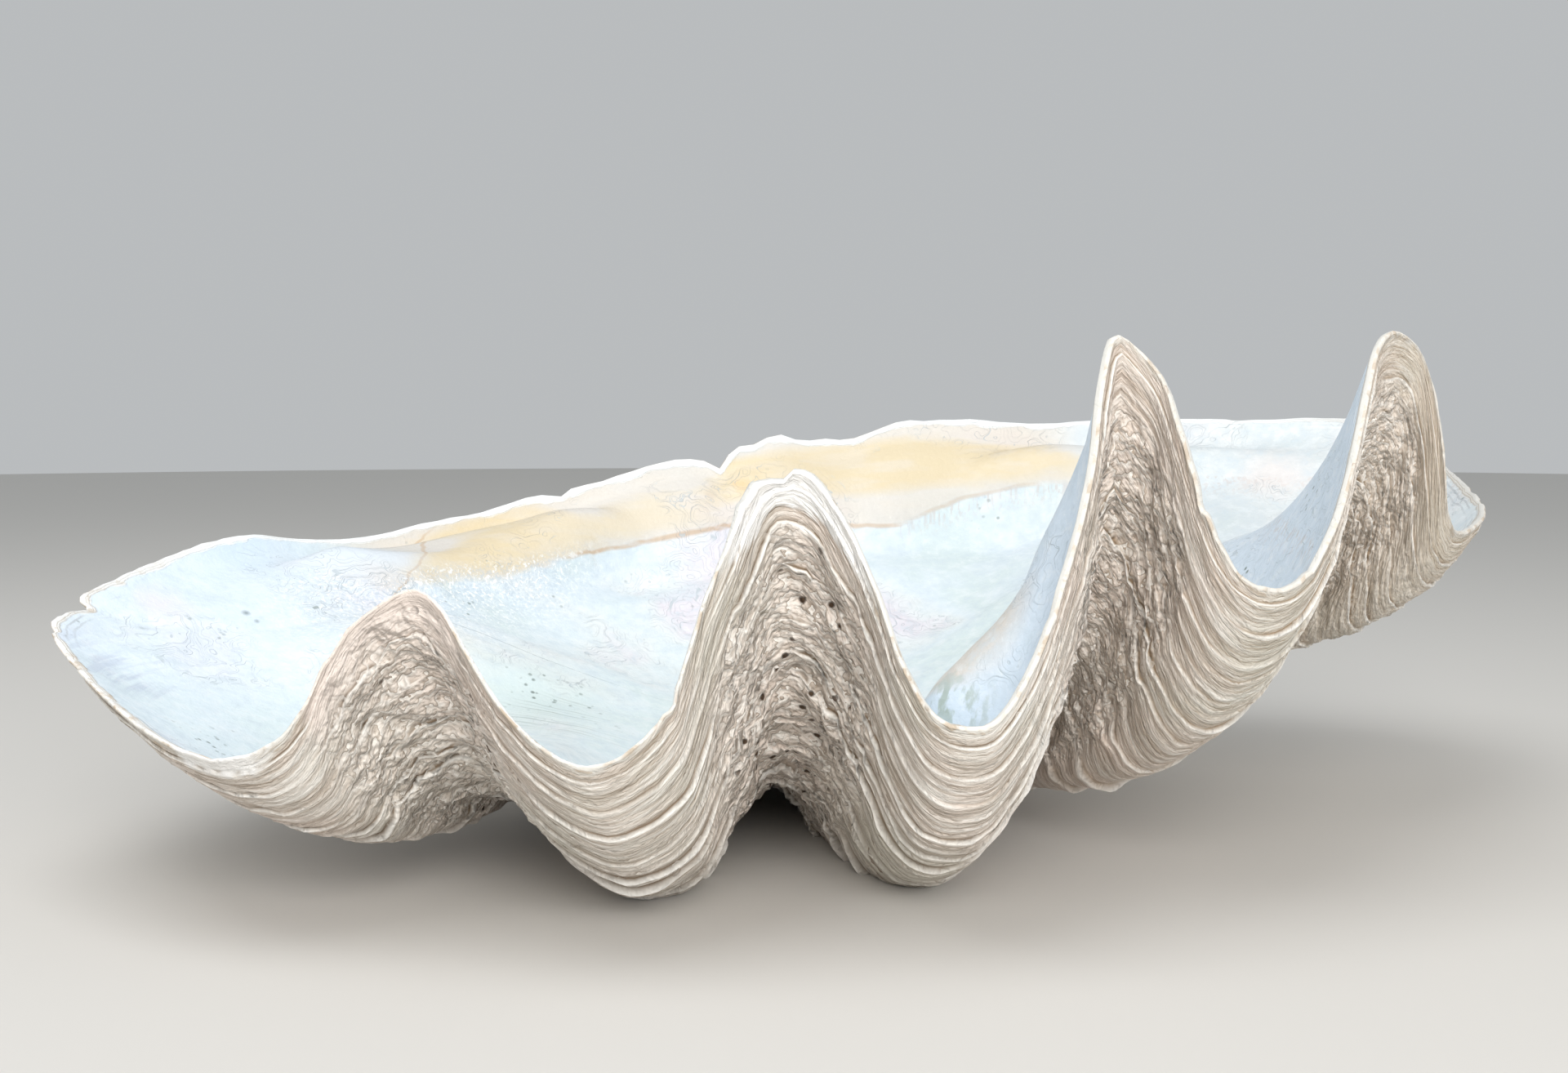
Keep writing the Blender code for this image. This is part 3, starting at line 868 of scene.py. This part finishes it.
for tone, *parts in (
        ("#dae8f4", 0.6, (to_right, -0.18, -0.32)),                     # bluish left end
        # Painted shade: the right end of the lining is greyer and darker.
        ("#cfd5d6", 0.7, (to_right, 0.16, 0.3)),                        # greyer right end
        ("#dae9e7", 0.5, (up, 0.11, 0.07), (soft, 0.62, 0.42)),         # greenish floor
        # Painted shade: a bluish tint on the folds' steep walls.
        ("#d3e0ec", shaded_wall_part),                                         # the folds' steep walls
        ("#d2c2ad", 0.7, (crest_part, 0.15, 0.7)),                      # tan crest of the ridge
        ("#c6d3dc", 0.55, (mottle, 0.5, 0.7)), ("#e9eff2", 0.4, (mottle, 0.5, 0.34)),
        ("#cad8e0", 0.45, (wisps, 0.56, 0.7))):
    base = coat(base, tone, *parts)
print("nodes so far:", len(tree.nodes))

# %% Porcelain-like lining: the hinge plate
# The plate is a warmer white. Cream lies on it in streaks along the hinge, 50 by 10 mm.
bands = drawn_out((20, 60, 110), 6.0)
on_plate = mask(0.75, (plate_height, -1.0, 2.0), plate_part)
base = coat(base, "#d9d0c4", on_plate)
base = coat(base, "#dccca9", 0.9, (sum_of(cream_part, (bands, 1.1)), 0.75, 1.45))
base = coat(base, "#dcd5ca", 0.55, (bands, 0.5, 0.66), on_plate)
# The shelf's edge is a thin tan line with painted shadow under the overhang, and fine streaks
# hang below it on the right.
base = coat(base, "#c4a480", 0.7, on_line(plate_height, 0.0, 1.7, 0.5), plate_part,
            (to_right, -0.15, -0.12), (to_right, 0.3, 0.05), (bands, 0.36, 0.52))
base = coat(base, "#c9c4c2", 0.7, (drawn_out((420, 420, 25), 2.0), 0.5, 0.62),
            (plate_height, -15.0, -2.0), (plate_height, 0.5, -1.0), (to_right, 0.08, 0.13))
# A tan line also marks the plate's left end, leaning to the left as it comes down.
end_way = sum_of(to_right, (up, -1.2), (bands, 0.012))
base = coat(base, "#c6ac8c", 0.6, on_line(end_way, -0.3695, 0.0016, 0.0006),
            (to_back, 0.08, 0.11), (up, 0.15, 0.142))

# %% Porcelain-like lining: frost
# Crystals about 2 mm wide, white with grey gaps, frost the wall below the plate on the left.
frosted = mask((plate_height, -34.0, -8.0), (plate_height, 9.0, 1.0),
               (to_right, -0.09, -0.14), (to_right, -0.31, -0.26))
frost = mask(0.85, (crystals, 0.54, 0.63), frosted)
base = coat(base, "#b9c6d2", 0.5, (crystals, 0.48, 0.4), frosted)
base = coat(base, "#f4f8fa", frost)
print("nodes so far:", len(tree.nodes))

# %% Porcelain-like lining: stains
STAINS = [  # place in mm from the object's middle, radius, colour, strength
    (3, 216, 168, 9, "#e2b777", 0.9), (-20, 214, 165, 5, "#cdbfae", 0.6),
    (41, -26, 65, 16, "#bccbc6", 0.5),
    (-312, 69, 116, 3.2, "#8f9ca3", 1.0), (-307, 65, 112, 2.2, "#98a4aa", 1.0),
    (-311, 128, 141, 45, "#cbdcea", 0.7), (-244, 137, 138, 40, "#d0deec", 0.6),
    (-223, 60, 95, 45, "#e8e4d8", 0.6), (-355, 62, 118, 20, "#e6d8dc", 0.6),
    (-170, 40, 66, 60, "#cfdedb", 0.6), (322, 87, 180, 30, "#e3dad6", 0.6),
]


def spot(centre, radius):
    """1 at a place, falling to 0 at about this radius in mm, with an uneven edge."""
    away = add("VectorMath", {0: place, 1: [c / 1000 for c in centre]}, operation="DISTANCE")
    uneven = sum_of(away, (soft_edge, radius / 1000))
    return mask((uneven, 1.5 * radius / 1000, 0.7 * radius / 1000))


for *centre, radius, tone, strength in STAINS:
    base = coat(base, tone, strength, spot(centre, radius))
# A grey-green smear inside the third channel, in blots of 6 mm.
blots = drawn_out((170, 170, 60), 4.0)
base = coat(base, "#aebbb5", (blots, 0.47, 0.56), spot((-38, -206, 98), 22))
print("nodes so far:", len(tree.nodes))

# %% Porcelain-like lining: pits
PITTED = [  # place, radius
    (-164, 50, 70, 34), (-331, -64, 73, 24), (-300, -80, 70, 20), (163, 180, 150, 18),
    (-144, 30, 62, 26), (60, -60, 70, 40), (-190, 120, 112, 22),
]
# Pits are 1 to 3 mm wide. A few lie anywhere, and most at the places in the table.
pitted = mask((pit_clouds, 0.62, 0.7), *[spot(row[:3], row[3]) for row in PITTED], join="MAXIMUM")
pit_cells = add("TexVoronoi", {"Vector": place, "Scale": 210.0})
pit = mask((pit_cells, 0.3, 0.14), (few, 0.44, 0.54), pitted)
base = coat(base, "#86938f", pit)
print("nodes so far:", len(tree.nodes))

# %% Porcelain-like lining: wrinkles, creases and growth lines
# A fan of fine lines, 2 mm apart, crosses the floor behind the second channel.
across_fan = add("VectorMath", {0: place, 1: (0.35, 0.94, 0.0)}, operation="DOT_PRODUCT")
fan_way = mask(sum_of(across_fan, (soft_edge, 0.004)), 420.0)
fan = add("TexNoise", {"W": fan_way, "Scale": 1.0, "Detail": 2.0}, noise_dimensions="1D")
base = coat(base, "#a3b1ae", 0.7, (fan, 0.5, 0.66), spot((-163, 18, 62), 44), (wisps, 0.36, 0.52))
# Fine wrinkles run in from the notch at the left tip, 3 mm apart.
wrinkles = mask(0.5, (drawn_out((22, 22, 330), 3.0), 0.5, 0.62), spot((-372, -16, 101), 46))
base = coat(base, "#b3bdd2", wrinkles)
# Creases: the edges of bent cells 70 mm wide, seen only here and there.
bent_place = add("VectorMath", {0: place, 1: sway}, operation="ADD")
cell_edges = add("TexVoronoi", {"Vector": bent_place, "Scale": 13.0}, feature="DISTANCE_TO_EDGE")
crease = mask(0.7, (cell_edges, 0.016, 0.004), (soft, 0.5, 0.56))
base = coat(base, "#b4c0c6", crease)
# The last growth lines inside the lip, 6 and 10 mm from it, at the front only.
front = mask((to_back, 0.14, 0.0))
seen = mask((soft, 0.44, 0.5), shaded_wall_part, join="MAXIMUM")
line_way = sum_of(rim_way, (soft_edge, 5.0))
for depth, strength in ((6.0, 0.6), (10.0, 0.4)):
    base = coat(base, "#a8adb1", strength, on_line(line_way, 2.5 - depth, 0.9, 0.3), seen, front)
print("nodes so far:", len(tree.nodes))

# %% Porcelain-like lining: the lip
# The lip is bare and chalky. Its layers show as tan lines, and on the left it has a tan crust.
at_lip = mask((sum_of(rim_way, (soft_edge, 8.0), (chalk_width, 0.7)), 1.7, 3.2))
lip_tone = coat("#d2d1cc", "#eaebe9", (to_right, -0.08, -0.25))
base = coat(base, coat(lip_tone, "#eef1f1", (to_back, 0.0, 0.14)), at_lip)
lip_way = sum_of(rim_way, (soft_edge, 6.0))
lip_lines = add("TexNoise", {"W": lip_way, "Scale": 0.9, "Detail": 3.0}, noise_dimensions="1D")
base = coat(base, "#ab9c89", 0.65, (lip_lines, 0.52, 0.64), at_lip, front)
base = coat(base, "#bcaa94", 0.7, (mottle, 0.5, 0.62), (to_right, -0.2, -0.28), at_lip, front)
base = coat(base, "#cdbfae", (chalk_width, -1.5, -4.0), at_lip)
print("nodes so far:", len(tree.nodes))

# %% Porcelain-like lining: gloss and fine height
gloss = add("MapRange", {"Value": mottle, "From Min": 0.35, "From Max": 0.65,
                         "To Min": 0.38, "To Max": 0.55})
fine = sum_of(grain, (pit, -1.2), (mask(at_lip, lip_lines), 2.5), (mottle, 1.2),
              (wrinkles, -1.0), (crease, -0.8), (frost, 0.8))
bump = add("Bump", {"Height": fine, "Distance": 0.0005, "Strength": 0.7})
feed(shader, {"Base Color": base, "Normal": bump, "Roughness": sum_of(gloss, (at_lip, 0.3)),
              "IOR": 1.53})
print("porcelain-like lining:", len(tree.nodes), "nodes")

# %% Lay the finishes on the skin
mesh.materials.append(outer_finish)
mesh.materials.append(lining)
first_inner_ring = len(outside) + len(lip) // 2
per_column = ring_count + 1
face_rows = np.tile(np.arange(per_column), AROUND)
mesh.polygons.foreach_set("material_index", (face_rows > first_inner_ring).astype(np.int32))
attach(valve, "root")
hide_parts("half_shell")

# %% [markdown]
# ## Studio
# On a plain pale floor, a large soft light overhead, a stronger one high in front and a weaker
# one low in front show the layers by their shadows. The camera stands low in front.

# %% Floor
bpy.ops.mesh.primitive_circle_add(vertices=96, radius=6, fill_type="NGON", location=(0, 0, 0))
floor = bpy.context.object
floor.name = "studio_floor"
floor_paint, tree, shader = new_finish("matt_studio_floor")
feed(shader, {"Base Color": srgb("#d2d0cc"), "Roughness": 0.9})
floor.data.materials.append(floor_paint)


# %% Lights
def soft_light(name, place, target, size, watts, colour):
    lamp = bpy.data.lights.new(name, "AREA")
    lamp.size = size
    lamp.energy = watts
    lamp.color = srgb(colour)[:3]
    holder = bpy.data.objects.new(name, lamp)
    holder.location = place
    holder.rotation_euler = (Vector(target) - Vector(place)).to_track_quat("-Z", "Y").to_euler()
    bpy.context.scene.collection.objects.link(holder)


soft_light("overhead", (-0.6, -0.2, 2.0), (0, 0, 0.1), 1.4, 18, "#ffffff")
soft_light("front", (-0.7, -2.2, 1.3), (0, 0, 0.12), 1.2, 27, "#fffaf4")
soft_light("fill", (0.3, -2.4, 0.8), (0, 0, 0.12), 1.2, 22, "#ffffff")
world = bpy.data.worlds.new("pale_room")
bpy.context.scene.world = world
world.use_nodes = True
feed(world.node_tree.nodes["Background"], {"Color": srgb("#d3d6d8"), "Strength": 0.75})
bpy.context.scene.view_settings.view_transform = "Standard"

# %% Camera
EYE = (-0.3363, -0.8548, 0.2185)
AIM = (0.3256, 0.9455)  # level direction, 19 degrees to the right of straight on
PITCH = math.radians(4.1)
camera_data = bpy.data.cameras.new("camera")
camera = bpy.data.objects.new("camera", camera_data)
bpy.context.scene.collection.objects.link(camera)
camera_data.sensor_width = 36
camera_data.lens = 39.375
camera.location = EYE
look = Vector((AIM[0] * math.cos(PITCH), AIM[1] * math.cos(PITCH), -math.sin(PITCH)))
camera.rotation_euler = look.to_track_quat("-Z", "Y").to_euler()
bpy.context.scene.camera = camera

# %% Finish
bpy.context.view_layer.update()
